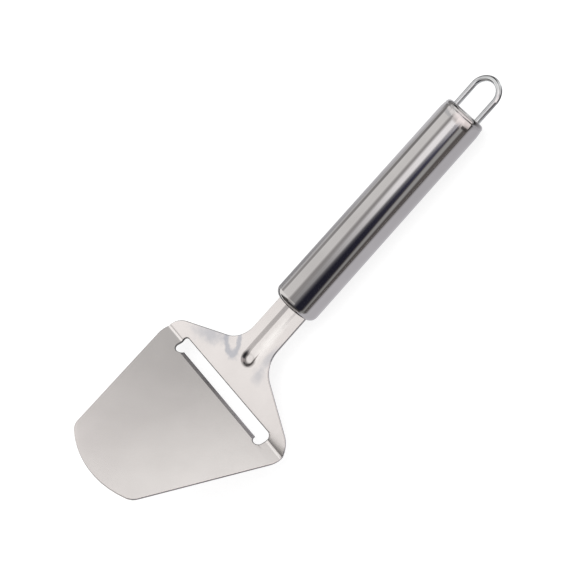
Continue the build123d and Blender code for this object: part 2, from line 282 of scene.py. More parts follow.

# Cards on the floor, seen only in reflections, darken it beside the handle and the loop as painted shade.
# Edges are the x at which a card begins, is whole, is still whole and ends
FLOOR_TURN_Y = 0.13
FLOOR_END_Y = 0.31
FLOOR_FADE = 0.01
FLOOR_SPACING = 0.0002
FLOOR_CARDS = {
    "left_floor": dict(start=0.03, edges=(-0.45, -0.44, -0.012, 0.0), level=0.38, rear_level=0.8, colour="#fcfbff"),
    "right_floor": dict(start=-0.1, edges=(0.0, 0.006, 0.1, 0.19), level=0.76, rear_level=0.68, colour="#fbf9ff"),
    "dark_floor": dict(start=-0.1, edges=(0.045, 0.135, 0.44, 0.45), level=0.11, rear_level=0.14, colour="#fff4f0"),
    "front_left_floor": dict(
        start=-0.035, end=0.028, edges=(-0.45, -0.44, -0.012, 0.0), level=0.15, colour="#fcfbff"
    ),
    "rear_left_floor": dict(start=0.17, edges=(-0.45, -0.44, -0.012, 0.0), level=0.22, colour="#fcfbff"),
    "wire_floor": dict(start=0.161, end=0.186, edges=(0.0, 0.006, 0.44, 0.45), level=0.03, colour="#fff4f0"),
}

# Camera's aim point in millimetres, the soft box's place in metres, and the light of the world on the slicer
CAMERA_AIM = (-8.06, 49.986, 2.107)
SOFT_BOX_PLACE = (-0.3, 0.1, 0.8)
AMBIENT = 0.85


def between(start, end, share):
    """Value at a share of the way from start to end."""
    return start + (end - start) * share


def clamped(value):
    """Holds a value between 0 and 1."""
    return min(1.0, max(0.0, value))


def spread(start, end, count):
    """Evenly spread values, both ends included."""
    return [start + (end - start) * i / count for i in range(count + 1)]


def arc(centre, radius, start, end):
    """Points on an arc, angles in radians from +X."""
    steps = max(2, ceil(abs(end - start) / ARC_STEP))
    return [(centre[0] + radius * cos(a), centre[1] + radius * sin(a)) for a in spread(start, end, steps)]


def rounded_corner(before, corner, after, radius):
    """Arc that rounds the corner between two straight runs."""
    point = Vector(corner)
    back = (Vector(before) - point).normalized()
    ahead = (Vector(after) - point).normalized()
    half = back.angle(ahead) / 2
    centre = point + (back + ahead).normalized() * radius / sin(half)
    first = point + back * radius / tan(half) - centre
    last = point + ahead * radius / tan(half) - centre
    start = atan2(first.y, first.x)
    turn = atan2(first.x * last.y - first.y * last.x, first.dot(last))
    return arc(centre, radius, start, start + turn)


def mirrored(right_half):
    """Closes a loop from its right half, which runs from the middle in front to the middle behind."""
    left_half = [(-x, s) for x, s in reversed(right_half) if abs(x) > 1e-6]
    return right_half + left_half


def corner_point(angle):
    """Point on the widest corner's arc."""
    x, run = SIDE_CORNER_CENTRE
    return x + SIDE_CORNER_RADIUS * cos(angle), run + SIDE_CORNER_RADIUS * sin(angle)


def front_arc():
    """Front edge from its middle, and the arc that rounds it into the side line."""
    lean = radians(SIDE_LINE_ANGLE)
    side = Vector(corner_point(-lean))
    ahead = Vector((-sin(lean), -cos(lean)))
    inward = Vector((-cos(lean), sin(lean)))
    corner_x = side.x - (FRONT_CORNER_RUN + side.y) * tan(lean)
    rise = PLATE_LENGTH - FRONT_CORNER_RUN
    radius = (corner_x**2 + rise**2) / (2 * rise)
    centre = Vector((0, radius - PLATE_LENGTH))
    start = side + inward * FRONT_CORNER_RADIUS - centre
    reach = radius - FRONT_CORNER_RADIUS
    along = -start.dot(ahead) + sqrt(start.dot(ahead) ** 2 - start.length_squared + reach**2)
    middle = centre + start + ahead * along
    touch = atan2(middle.y - centre.y, middle.x - centre.x)
    points = arc(centre, radius, -pi / 2, touch)
    return points + arc(middle, FRONT_CORNER_RADIUS, touch, -lean)[1:]


def sheet_outline():
    """Outline of the whole sheet in its flat pattern."""
    lean = radians(SIDE_LINE_ANGLE)
    slope = radians(SHOULDER_LINE_ANGLE)
    shoulder = corner_point(slope)
    foot = (NECK_FOOT_HALF_WIDTH, NECK_BEND_RUN)
    neck_end = (NECK_HALF_WIDTH, TANG_SHOULDER_RUN)
    half = front_arc() + arc(SIDE_CORNER_CENTRE, SIDE_CORNER_RADIUS, -lean, slope)
    half += rounded_corner(shoulder, foot, neck_end, NECK_FILLET_RADIUS)
    half += [neck_end, (TANG_HALF_WIDTH, TANG_SHOULDER_RUN), (TANG_HALF_WIDTH, TANG_END_RUN)]
    return mirrored(half)


def slot_outline():
    """Outline of the slicing slot with its two relief lobes."""
    half = arc((LOBE_X, -LIP_RUN), RELIEF_RADIUS, -pi, 0)
    rear = (SLOT_HALF_LENGTH - SLOT_CORNER_RADIUS, SLOT_REAR_RUN - SLOT_CORNER_RADIUS)
    return mirrored(half + arc(rear, SLOT_CORNER_RADIUS, 0, pi / 2))


def inset(loop, distance):
    """Moves a counter-clockwise loop inward; a negative distance moves it outward."""
    moved = []
    count = len(loop)
    for i, point in enumerate(loop):
        before = (Vector(point) - Vector(loop[i - 1])).normalized()
        ahead = (Vector(loop[(i + 1) % count]) - Vector(point)).normalized()
        inward = Vector((-before.y - ahead.y, before.x + ahead.x)).normalized()
        slant = max(0.5, inward.dot(Vector((-ahead.y, ahead.x))))
        moved.append(Vector(point) + inward * distance / slant)
    return moved


def run_frame(run):
    """Place (y, z) and slope of the sheet's top face at one run from the fold."""
    plate = radians(-PLATE_ANGLE)
    shoulder = radians(SHOULDER_ANGLE)
    if run <= -FOLD_TANGENT:
        return run * cos(plate), run * sin(plate), plate
    if run < FOLD_TANGENT:
        slope = plate + (run / FOLD_TANGENT + 1) / 2 * (shoulder - plate)
        lean = (plate + shoulder) / 2
        reach = FOLD_RADIUS / cos(FOLD_HALF_TURN)
        y = -reach * sin(lean) + FOLD_RADIUS * sin(slope)
        z = reach * cos(lean) - FOLD_RADIUS * cos(slope)
        return y, z, slope
    if run <= NECK_BEND_RUN - NECK_BEND_TANGENT:
        return run * cos(shoulder), run * sin(shoulder), shoulder
    bend_y = NECK_BEND_RUN * cos(shoulder)
    if run < NECK_BEND_RUN + NECK_BEND_TANGENT:
        bend_radius = NECK_BEND_RADIUS + SHEET
        slope = shoulder * (NECK_BEND_RUN + NECK_BEND_TANGENT - run) / (2 * NECK_BEND_TANGENT)
        y = bend_y + NECK_BEND_TANGENT - bend_radius * sin(slope)
        z = NECK_Z - bend_radius * (1 - cos(slope))
        return y, z, slope
    return bend_y + run - NECK_BEND_RUN, NECK_Z, 0.0


def rounded_ramp(share):
    """A straight ramp from 0 to 1 whose foot and shoulder are rounded."""
    if share > 0.5:
        return 1 - rounded_ramp(1 - share)
    if share < RAMP_ROUNDING:
        return share * share / (2 * RAMP_ROUNDING * (1 - RAMP_ROUNDING))
    return (share - RAMP_ROUNDING / 2) / (1 - RAMP_ROUNDING)


def bead_depth(x, run):
    """Depth of the pressed bead below the sheet's face; its end is steeper and deeper than its long run."""
    back = min(0.0, run - BEAD_START_RUN)
    off = hypot(x, back)
    steep = (back / off) ** 2 if off else 0.0
    wall = between(BEAD_WALL_RUN, BEAD_END_RUN, steep)
    rise = rounded_ramp(clamped((run - BEAD_START_RUN + BEAD_END_LEAD) / BEAD_END_REACH))
    floor = between(BEAD_END_DEPTH, BEAD_DEPTH, rise)
    return floor * rounded_ramp(clamped((BEAD_HALF_WIDTH - off) / wall))


def hollow_depth(x, run):
    """Depth of the dip that folding left in the shoulder right behind the fold, wider on the right side."""
    reach, depth, power = HOLLOW_RIGHT if x > 0 else HOLLOW_LEFT
    if run >= HOLLOW_FOOT:
        return depth * max(0.0, (reach - run) / (reach - HOLLOW_FOOT)) ** power
    return depth * rounded_ramp(max(0.0, run / HOLLOW_FOOT))


def sheet_point(x, run, depth_share):
    """Place of a flat-pattern point on the pressed sheet, in metres; depth_share is 0 on top and 1 below."""
    y, z, slope = run_frame(run)
    top = -bead_depth(x, run) - hollow_depth(x, run)
    under = top - SHEET
    if LIP_START_RUN < run < 0 and abs(x) < LOBE_X:
        top -= (SHEET - LIP_EDGE) * min(1.0, (run - LIP_START_RUN) / LIP_BEVEL)
    height = between(top, under, depth_share)
    return Vector((x, y - height * sin(slope), z + height * cos(slope))) * MM


def cut_rows(bm, places, direction, keep):
    """Cuts the flat pattern along lines, where keep(place) holds for a corner or the middle of a face."""
    normal = (1, 0, 0) if direction == AT_X else (0, 1, 0)
    for place in places:
        faces = [f for f in bm.faces if keep(f.calc_center_median()) or any(keep(v.co) for v in f.verts)]
        edges = {e for f in faces for e in f.edges}
        verts = {v for f in faces for v in f.verts}
        touched = list(verts) + list(edges) + faces
        bmesh.ops.bisect_plane(bm, geom=touched, dist=1e-5, plane_co=[place * n for n in normal], plane_no=normal)


def flat_sheet(bm, rim_radius):
    """Builds the flat pattern, in millimetres, with rounded rims; z is minus the share of the depth."""
    outer = sheet_outline()
    slot = slot_outline()
    top_edges = []
    under_edges = []
    for loop, sign in ((outer, 1), (slot, -1)):
        radius = rim_radius if sign > 0 else SLOT_RIM_RADIUS
        turns = spread(0, pi / 2, RIM_STEPS)
        levels = [(radius * (1 - sin(turn)), radius * (1 - cos(turn)) / SHEET) for turn in turns]
        levels += [(distance, 1 - depth) for distance, depth in reversed(levels)]
        rings = []
        for distance, depth in levels:
            moved = inset(loop, sign * (distance + FRAME_CLEARANCE))
            rings.append([bm.verts.new((p.x, p.y, -depth)) for p in moved])
        count = len(loop)
        for level, (upper, lower) in enumerate(zip(rings, rings[1:])):
            for i in range(count):
                j = (i + 1) % count
                corners = [upper[i], upper[j], lower[j], lower[i]]
                face = bm.faces.new(corners if sign < 0 else corners[::-1])
                sheared = sign < 0 or level == RIM_STEPS and upper[i].co.y > -FRONT_CORNER_RUN
                face.material_index = SHEARED if sheared else SATIN
        for edges, ring in ((top_edges, rings[0]), (under_edges, rings[-1])):
            edges += [bm.edges.get((ring[i], ring[(i + 1) % count])) for i in range(count)]
    for edges in (top_edges, under_edges):
        filled = bmesh.ops.triangle_fill(bm, use_beauty=True, use_dissolve=False, edges=edges)
        if not filled["geom"]:
            raise RuntimeError("A face of the flat sheet could not be filled")


def press_sheet(bm):
    """Cuts the flat pattern into rows where it bends, then gives every point its pressed place."""
    grid_x = BEAD_HALF_WIDTH + BEAD_MARGIN
    grid_run = BEAD_START_RUN - grid_x
    floor_rise_end = BEAD_START_RUN + BEAD_END_REACH - BEAD_END_LEAD

    def on_neck(co):
        return co.y > grid_run - GRID_LEAD and abs(co.x) < NECK_FILLET_RADIUS

    def on_bead(co):
        return co.y > grid_run - GRID_SLACK and abs(co.x) < grid_x - GRID_SLACK

    def on_bead_end(co):
        return on_bead(co) and co.y < BEAD_START_RUN

    fold_rows = spread(-FOLD_TANGENT, FOLD_TANGENT, FOLD_ROWS) + [-CREASE_REACH, CREASE_REACH]
    foot_rows = spread(0, HOLLOW_FOOT, HOLLOW_FOOT_ROWS)[2:]
    hollow_rows = foot_rows + spread(HOLLOW_FOOT, HOLLOW_RIGHT[0], HOLLOW_ROWS)[1:]
    bend_rows = spread(NECK_BEND_RUN - NECK_BEND_TANGENT, NECK_BEND_RUN + NECK_BEND_TANGENT, NECK_BEND_ROWS)
    bead_rows = [grid_run] + spread(BEAD_START_RUN, floor_rise_end, BEAD_ROWS)[1:]
    cut_rows(bm, fold_rows, AT_RUN, lambda co: True)
    cut_rows(bm, hollow_rows, AT_RUN, lambda co: co.y > 0)
    cut_rows(bm, [LIP_START_RUN], AT_RUN, lambda co: co.y < 0)
    cut_rows(bm, bend_rows, AT_RUN, lambda co: co.y > SLOT_REAR_RUN + 1)
    cut_rows(bm, [-grid_x, grid_x], AT_X, on_neck)
    cut_rows(bm, bead_rows, AT_RUN, on_neck)
    cut_rows(bm, spread(-grid_x, grid_x, BEAD_COLUMNS), AT_X, on_bead)
    cut_rows(bm, spread(grid_run, BEAD_START_RUN, BEAD_END_ROWS), AT_RUN, on_bead_end)
    for face in bm.faces:
        x, run, z = face.calc_center_median()
        on_top = z > -0.1
        if on_top and LIP_START_RUN < run < -LIP_RUN and abs(x) < LOBE_X:
            face.material_index = GROUND
    # Share of the painted highlight along the crease: 1 in the fold's middle, 0 at CREASE_REACH
    crease = bm.verts.layers.float.new("crease")
    for vert in bm.verts:
        vert[crease] = max(0.0, 1 - abs(vert.co.y) / CREASE_REACH)
        vert.co = sheet_point(vert.co.x, vert.co.y, -vert.co.z)


def add_object(name, data):
    """Puts an object into the scene."""
    item = bpy.data.objects.new(name, data)
    bpy.context.scene.collection.objects.link(item)
    return item


def mesh_object(name, bm, body="root"):
    """Turns a bmesh into a piece that rides on a body."""
    bmesh.ops.recalc_face_normals(bm, faces=bm.faces)
    mesh = bpy.data.meshes.new(name)
    bm.to_mesh(mesh)
    bm.free()
    piece = add_object(name, mesh)
    mesh.polygons.foreach_set("use_smooth", [True] * len(mesh.polygons))
    mesh.set_sharp_from_angle(angle=SHARP_ANGLE)
    piece.modifiers.new("Even normals", "WEIGHTED_NORMAL").keep_sharp = True
    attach(piece, body)
    return piece


def join_rings(bm, rings):
    """Joins each ring of points to the next one."""
    for ring, after in zip(rings, rings[1:]):
        for i in range(len(ring)):
            j = (i + 1) % len(ring)
            bm.faces.new((ring[i], ring[j], after[j], after[i]))


def turned_solid(bm, profile):
    """Closed solid of revolution about the handle's axis, from (y, radius) points in millimetres."""
    rings = []
    for y, full_radius in profile:
        radius = full_radius - FRAME_CLEARANCE
        ring = []
        for turn in spread(0, 2 * pi, TURNED_STEPS)[:-1]:
            ring.append(bm.verts.new(Vector((radius * sin(turn), y, NECK_Z + radius * cos(turn))) * MM))
        rings.append(ring)
    join_rings(bm, rings + rings[:1])


def swept_wire(bm, path, radius):
    """Round wire along a level path of (x, y) points in millimetres."""
    rings = []
    for i, point in enumerate(path):
        before = Vector(path[max(i - 1, 0)])
        after = Vector(path[min(i + 1, len(path) - 1)])
        ahead = (after - before).normalized()
        ring = []
        for turn in spread(0, 2 * pi, WIRE_STEPS)[:-1]:
            side = radius * cos(turn)
            place = (point[0] - ahead.y * side, point[1] + ahead.x * side, NECK_Z + radius * sin(turn))
            ring.append(bm.verts.new(Vector(place) * MM))
        rings.append(ring)
    join_rings(bm, rings)
    bm.faces.new(rings[0])
    bm.faces.new(rings[-1])


def linear(hex_colour):
    """Turns an sRGB hex colour into linear red, green, blue and alpha."""
    channels = [int(hex_colour[i : i + 2], 16) / 255 for i in (1, 3, 5)]
    return [c / 12.92 if c <= 0.04045 else ((c + 0.055) / 1.055) ** 2.4 for c in channels] + [1.0]


def add_node(material, kind, inputs=None, **settings):
    """Adds a shader node, applies its settings, then sets or links its inputs by name or number."""
    node = material.node_tree.nodes.new("ShaderNode" + kind)
    for key, value in settings.items():
        setattr(node, key, value)
    for key, value in (inputs or {}).items():
        if isinstance(value, bpy.types.NodeSocket):
            material.node_tree.links.new(value, node.inputs[key])
        else:
            node.inputs[key].default_value = value
    return node


def new_material(name):
    """An empty node material."""
    material = bpy.data.materials.new(name)
    material.use_nodes = True
    material.node_tree.nodes.clear()
    return material


def paint_reflection_marks(material, surface):
    """Painted bluish reflections and a painted pale highlight, each with a softly uneven outline."""
    place = add_node(material, "TexCoord").outputs["Object"]
    wave = add_node(material, "TexNoise", {"Vector": place, "Scale": 1 / (MARK_WAVE * MM), "Detail": 1.0})
    for middle, reach, turn, hoop, strength, colour in PAINTED_REFLECTION_MARKS:
        inputs = {
            "Vector": place,
            "Location": [m * MM for m in middle] + [0.0],
            "Rotation": (0.0, 0.0, radians(turn)),
            "Scale": [size * MM for size in reach] + [1.0],
        }
        centred = add_node(material, "Mapping", inputs, vector_type="TEXTURE")
        far = add_node(material, "VectorMath", {0: centred.outputs[0]}, operation="LENGTH")
        inputs = {0: wave.outputs["Fac"], 1: MARK_WOBBLE, 2: far.outputs["Value"]}
        wobbly = add_node(material, "Math", inputs, operation="MULTIPLY_ADD")
        ring = add_node(material, "Math", {0: wobbly.outputs[0], 1: MARK_WOBBLE / 2 + hoop}, operation="SUBTRACT")
        gap = add_node(material, "Math", {0: ring.outputs[0]}, operation="ABSOLUTE").outputs[0]
        edge = HOOP_EDGE if hoop else PATCH_EDGE
        inputs = {"Value": gap, "From Min": MARK_FULL, "From Max": edge, "To Min": strength, "To Max": 0.0}
        share = add_node(material, "MapRange", inputs, interpolation_type="SMOOTHSTEP")
        shades = {MIX_SHARE: share.outputs[0], MIX_FIRST: surface, MIX_SECOND: linear(colour)}
        surface = add_node(material, "Mix", shades, data_type="RGBA").outputs[MIX_RESULT]
    return surface


def paint_bead_end_shade(material, surface):
    """Painted shade in the corner all round the bead's end."""
    place = add_node(material, "TexCoord").outputs["Object"]
    middle = [m * MM for m in BEAD_SHADE_MIDDLE] + [0.0]
    level = add_node(material, "VectorMath", {0: place, 1: (1, 1, 0)}, operation="MULTIPLY")
    far = add_node(material, "VectorMath", {0: level.outputs[0], 1: middle}, operation="DISTANCE")
    off = add_node(material, "Math", {0: far.outputs["Value"], 1: BEAD_SHADE_RADIUS * MM}, operation="SUBTRACT")
    gap = add_node(material, "Math", {0: off.outputs[0]}, operation="ABSOLUTE").outputs[0]
    full, gone = (edge * MM for edge in BEAD_SHADE_EDGES)
    inputs = {"Value": gap, "From Min": full, "From Max": gone, "To Min": BEAD_SHADE_STRENGTH, "To Max": 0.0}
    ring = add_node(material, "MapRange", inputs, interpolation_type="SMOOTHSTEP")
    along = add_node(material, "SeparateXYZ", {0: place}).outputs["Y"]
    full, gone = (run * MM for run in BEAD_SHADE_END_RUNS)
    inputs = {"Value": along, "From Min": full, "From Max": gone, "To Min": 1.0, "To Max": 0.0}
    end = add_node(material, "MapRange", inputs, interpolation_type="SMOOTHSTEP")
    share = add_node(material, "Math", {0: ring.outputs[0], 1: end.outputs[0]}, operation="MULTIPLY")
    shades = {MIX_SHARE: share.outputs[0], MIX_FIRST: surface, MIX_SECOND: linear(BEAD_SHADE_COLOUR)}
    return add_node(material, "Mix", shades, data_type="RGBA").outputs[MIX_RESULT]


def steel(name, light, dark, blotch, grain, roughness, relief, crease_highlight=None):
    """Stainless steel: blotch is the size of its colour clouds, grain the (across, along) size of its lines, in mm.

    The last colour is a painted highlight along the crease; with it come the painted reflections of the press marks
    and the painted shade round the bead's end.
    """
    material = new_material(name)
    place = add_node(material, "TexCoord").outputs["Object"]
    clouds = add_node(material, "TexNoise", {"Vector": place, "Scale": 1 / (blotch * MM), "Detail": 2.0})
    inputs = {"Value": clouds.outputs["Fac"], "From Min": NOISE_LOW, "From Max": NOISE_HIGH}
    share = add_node(material, "MapRange", inputs)
    shades = {MIX_SHARE: share.outputs[0], MIX_FIRST: linear(dark), MIX_SECOND: linear(light)}
    surface = add_node(material, "Mix", shades, data_type="RGBA").outputs[MIX_RESULT]
    # Painted highlight along the crease, then painted reflections of the press marks and painted shade round the
    # bead's end
    if crease_highlight:
        highlight_share = add_node(material, "Attribute", attribute_name="crease")
        shades = {MIX_SHARE: highlight_share.outputs["Fac"], MIX_FIRST: surface, MIX_SECOND: linear(crease_highlight)}
        surface = add_node(material, "Mix", shades, data_type="RGBA").outputs[MIX_RESULT]
        surface = paint_bead_end_shade(material, paint_reflection_marks(material, surface))
    across, along = (1 / (size * MM) for size in grain)
    drawn = add_node(material, "Mapping", {"Vector": place, "Scale": (across, along, across)})
    lines = add_node(material, "TexNoise", {"Vector": drawn.outputs[0], "Scale": 1.0, "Detail": 3.0}).outputs["Fac"]
    smooth, rough = roughness
    inputs = {"Value": lines, "From Min": NOISE_LOW, "From Max": NOISE_HIGH, "To Min": smooth, "To Max": rough}
    finish = add_node(material, "MapRange", inputs)
    bump = add_node(material, "Bump", {"Height": lines, "Strength": relief, "Distance": GRAIN_DEPTH * MM})
    inputs = {"Base Color": surface, "Metallic": 1.0, "Roughness": finish.outputs[0], "Normal": bump.outputs[0]}
    shader = add_node(material, "BsdfPrincipled", inputs)
    add_node(material, "OutputMaterial", {"Surface": shader.outputs[0]})
    return material


def moulded_nylon(name, light, dark, size, roughness, relief):
    """Nylon with the even grain that a sparked mould leaves, whose size is in millimetres."""
    material = new_material(name)
    place = add_node(material, "TexCoord").outputs["Object"]
    grain = add_node(material, "TexNoise", {"Vector": place, "Scale": 1 / (size * MM), "Detail": 3.0}).outputs["Fac"]
    shades = {MIX_SHARE: grain, MIX_FIRST: linear(dark), MIX_SECOND: linear(light)}
    colour = add_node(material, "Mix", shades, data_type="RGBA").outputs[MIX_RESULT]
    smooth, rough = roughness
    inputs = {"Value": grain, "From Min": NOISE_LOW, "From Max": NOISE_HIGH, "To Min": smooth, "To Max": rough}
    finish = add_node(material, "MapRange", inputs)
    bump = add_node(material, "Bump", {"Height": grain, "Strength": relief, "Distance": GRAIN_DEPTH * MM})
    inputs = {"Base Color": colour, "Roughness": finish.outputs[0], "IOR": 1.53, "Normal": bump.outputs[0]}
    shader = add_node(material, "BsdfPrincipled", inputs)
    add_node(material, "OutputMaterial", {"Surface": shader.outputs[0]})
    return material


def card_material(name):
    """Studio card that glows as brightly as the mesh says and fades out at its soft edges."""
    material = new_material(name)
    glow = add_node(material, "Attribute", attribute_name="glow")
    cover = add_node(material, "Attribute", attribute_name="cover")
    light = add_node(material, "Emission", {"Color": glow.outputs["Color"]})
    clear = add_node(material, "BsdfTransparent")
    card = add_node(material, "MixShader", {0: cover.outputs["Fac"], 1: clear.outputs[0], 2: light.outputs[0]})
    add_node(material, "OutputMaterial", {"Surface": card.outputs[0]})
    return material


def seen_directly(material):
    """Output that is 1 for what the camera sees, also mirrored or through something clear, and 0 for light."""
    path = add_node(material, "LightPath")
    inputs = {0: path.outputs["Is Camera Ray"], 1: path.outputs["Is Glossy Ray"]}
    seen = add_node(material, "Math", inputs, operation="ADD")
    inputs = {0: seen.outputs[0], 1: path.outputs["Is Transmission Ray"]}
    return add_node(material, "Math", inputs, operation="ADD", use_clamp=True).outputs[0]


def floor_material(name, colour, lift):
    """Pale matt board; the lift brings its lit part to white and leaves the object's shadow on it."""
    material = new_material(name)
    strength = add_node(material, "Math", {0: seen_directly(material), 1: lift}, operation="MULTIPLY")
    board = add_node(material, "BsdfDiffuse", {"Color": linear(colour)})
    glow = add_node(material, "Emission", {"Strength": strength.outputs[0]})
    both = add_node(material, "AddShader", {0: board.outputs[0], 1: glow.outputs[0]})
    add_node(material, "OutputMaterial", {"Surface": both.outputs[0]})
    return material


def stage_mesh(name, points, faces, material):
    """Adds a mesh that belongs to the studio and not to the slicer."""
    mesh = bpy.data.meshes.new(name)
    mesh.from_pydata(points, [], faces)
    mesh.materials.append(material)
    item = add_object(name, mesh)
    return item


def grid_faces(rows, columns):
    """Quads of a grid whose points run row by row."""
    corners = [i * columns + k for i in range(rows - 1) for k in range(columns - 1)]
    return [(a, a + 1, a + columns + 1, a + columns) for a in corners]


def studio_card(name, material, colour, rows):
    """Adds a card from rows of (place, strength, cover) points; only reflections see it."""
    tint = linear(colour)[:3]
    places = []
    glows = []
    covers = []
    for row in rows:
        for place, strength, cover in row:
            places.append(place)
            glows += [c * strength for c in tint] + [1.0]
            covers.append(cover)
    card = stage_mesh(name, places, grid_faces(len(rows), len(rows[0])), material)
    card.data.attributes.new("glow", "FLOAT_COLOR", "POINT").data.foreach_set("color", glows)
    card.data.attributes.new("cover", "FLOAT", "POINT").data.foreach_set("value", covers)
    card.visible_camera = False
    card.visible_diffuse = False
    card.visible_shadow = False
    card.visible_transmission = False


def tent_card(
    name, rank, material, angles, level, colour, soft,
    rear_angles=None, rear_level=None, late=False, span=(-TENT_REACH, TENT_REACH), fade=0.03,
):
    """Curved card round the handle, which fades out over its soft edges and at both ends of its span of y."""
    radius = TENT_RADIUS - CARD_SPACING * rank
    rear_angles = rear_angles or angles
    rear_level = rear_level or level
    inner = [y for y in spread(TENT_FRONT_Y, TENT_REAR_Y, CARD_STATIONS) if span[0] + fade < y < span[1] - fade]
    stations = [span[0] - fade, span[0] + fade] + inner + [span[1] - fade, span[1] + fade]
    rows = []
    for y in stations:
        share = clamped((y - TENT_FRONT_Y) / (TENT_REAR_Y - TENT_FRONT_Y))
        ease = share**3 if late else share * share * (3 - 2 * share)
        strength = between(level, rear_level, ease)
        low = between(angles[0], rear_angles[0], share)
        high = between(angles[1], rear_angles[1], share)
        turns = spread(low + soft[0] / 2, high - soft[1] / 2, CARD_COLUMNS)
        turns = [low - soft[0] / 2] + turns + [high + soft[1] / 2]
        row = []
        for turn in turns:
            x = radius * cos(radians(turn))
            z = radius * sin(radians(turn)) + NECK_Z * MM
            on_rim = turn in (turns[0], turns[-1]) or y in (stations[0], stations[-1])
            row.append(((x, y, z), strength, 0.0 if on_rim else 1.0))
        rows.append(row)
    studio_card(name, material, colour, rows)


def floor_card(name, height, material, start, edges, level, colour, rear_level=None, end=FLOOR_END_Y):
    """Card lying on the floor beside the handle, which fades in over its start and out over its long edges."""
    rear_level = rear_level or level
    turn_y = FLOOR_TURN_Y if start < FLOOR_TURN_Y < end else (start + end) / 2
    ends = ((start - FLOOR_FADE, level, 0.0), (start + FLOOR_FADE, level, 1.0))
    stations = (*ends, (turn_y, rear_level, 1.0), (end, rear_level, 1.0))
    covers = (0.0, 1.0, 1.0, 0.0)
    rows = [
        [((x, y, height), strength, cover * shown) for x, cover in zip(edges, covers)]
        for y, strength, shown in stations
    ]
    studio_card(name, material, colour, rows)


class SheetSettings(bpy.types.PropertyGroup):
    rim_radius: bpy.props.FloatProperty(
        name="Rim rounding",
        description="Radius that tumbling leaves on the stamped edges",
        default=0.38 * MM,
        min=0.02 * MM,
        max=0.4 * MM,
        unit="LENGTH",
    )
    colour: bpy.props.StringProperty(name="Steel", description="Colour of the satin sheet", default="#dedad8")
    # The lip's colour is darker than the sheet's: painted shade
    lip_colour: bpy.props.StringProperty(name="Lip", description="Colour of the ground lip", default="#c4c1c2")


class HandleSettings(bpy.types.PropertyGroup):
    colour: bpy.props.StringProperty(name="Steel", description="Colour of the polished tube", default="#cac8c7")
    plug_colour: bpy.props.StringProperty(name="Plug", description="Colour of the front plug", default="#2a2a2b")
    wire_colour: bpy.props.StringProperty(name="Wire", description="Colour of the hanging loop", default="#dee0e0")


class StageSettings(bpy.types.PropertyGroup):
    distance: bpy.props.FloatProperty(
        name="Camera distance", description="From the lens to the aim point", default=0.69788, unit="LENGTH"
    )
    azimuth: bpy.props.FloatProperty(
        name="Azimuth", description="Camera's turn about the vertical", default=radians(106.575), subtype="ANGLE"
    )
    elevation: bpy.props.FloatProperty(
        name="Elevation", description="Camera's height angle", default=radians(56.43), subtype="ANGLE"
    )
    roll: bpy.props.FloatProperty(
        name="Roll", description="Turn of the picture about the view axis", default=radians(-62.279), subtype="ANGLE"
    )
    focal_length: bpy.props.FloatProperty(name="Lens", description="Focal length", default=105.693, unit="CAMERA")
    lamp_power: bpy.props.FloatProperty(name="Power", description="Power of the soft box", default=2.5, unit="POWER")
    lamp_size: bpy.props.FloatProperty(name="Box size", description="Side of the soft box", default=0.9, unit="LENGTH")
    floor_colour: bpy.props.StringProperty(name="Floor", description="Colour of the floor board", default="#a8a8a8")
    floor_lift: bpy.props.FloatProperty(name="Lift", description="Glow that brings the floor to white", default=0.74)


class SLICER_OT_head(bpy.types.Operator):
    """Build the pressed sheet: plate, fold, shoulders, neck and tang"""

    bl_idname = "slicer.head"
    bl_label = "Pressed head"

    def execute(self, context):
        settings = context.scene.slicer_sheet
        bm = bmesh.new()
        flat_sheet(bm, settings.rim_radius / MM)
        press_sheet(bm)
        piece = mesh_object("pressed_head", bm)
        # Stamped stainless sheet, tumbled to a satin finish: soft reflections, and faint lines along the slicer, which
        # are 0.4 mm apart because the real ones are too fine to show
        # The last colour is a painted highlight along the crease
        satin = steel("Satin stainless sheet", settings.colour, "#d9d5d3", 16, (0.4, 9), (0.15, 0.19), 0.04, "#f6f3f1")
        # Ground lip: its grooves across the edge, drawn coarser than real ones, scatter the light, and its darker
        # colour is painted shade
        ground = steel("Ground stainless lip", settings.lip_colour, "#b4b1b2", 6, (0.15, 2), (0.38, 0.5), 0.3)
        # Edges as the press sheared them: matt, with tearing that is drawn coarse enough to show; their dark colour is
        # partly painted shade
        sheared = steel("Sheared stainless edge", "#8d8b8b", "#6f6d6d", 3, (0.2, 0.6), (0.4, 0.5), 0.3)
        for material in (satin, ground, sheared):
            piece.data.materials.append(material)
        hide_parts("slicer_head")
        return {"FINISHED"}


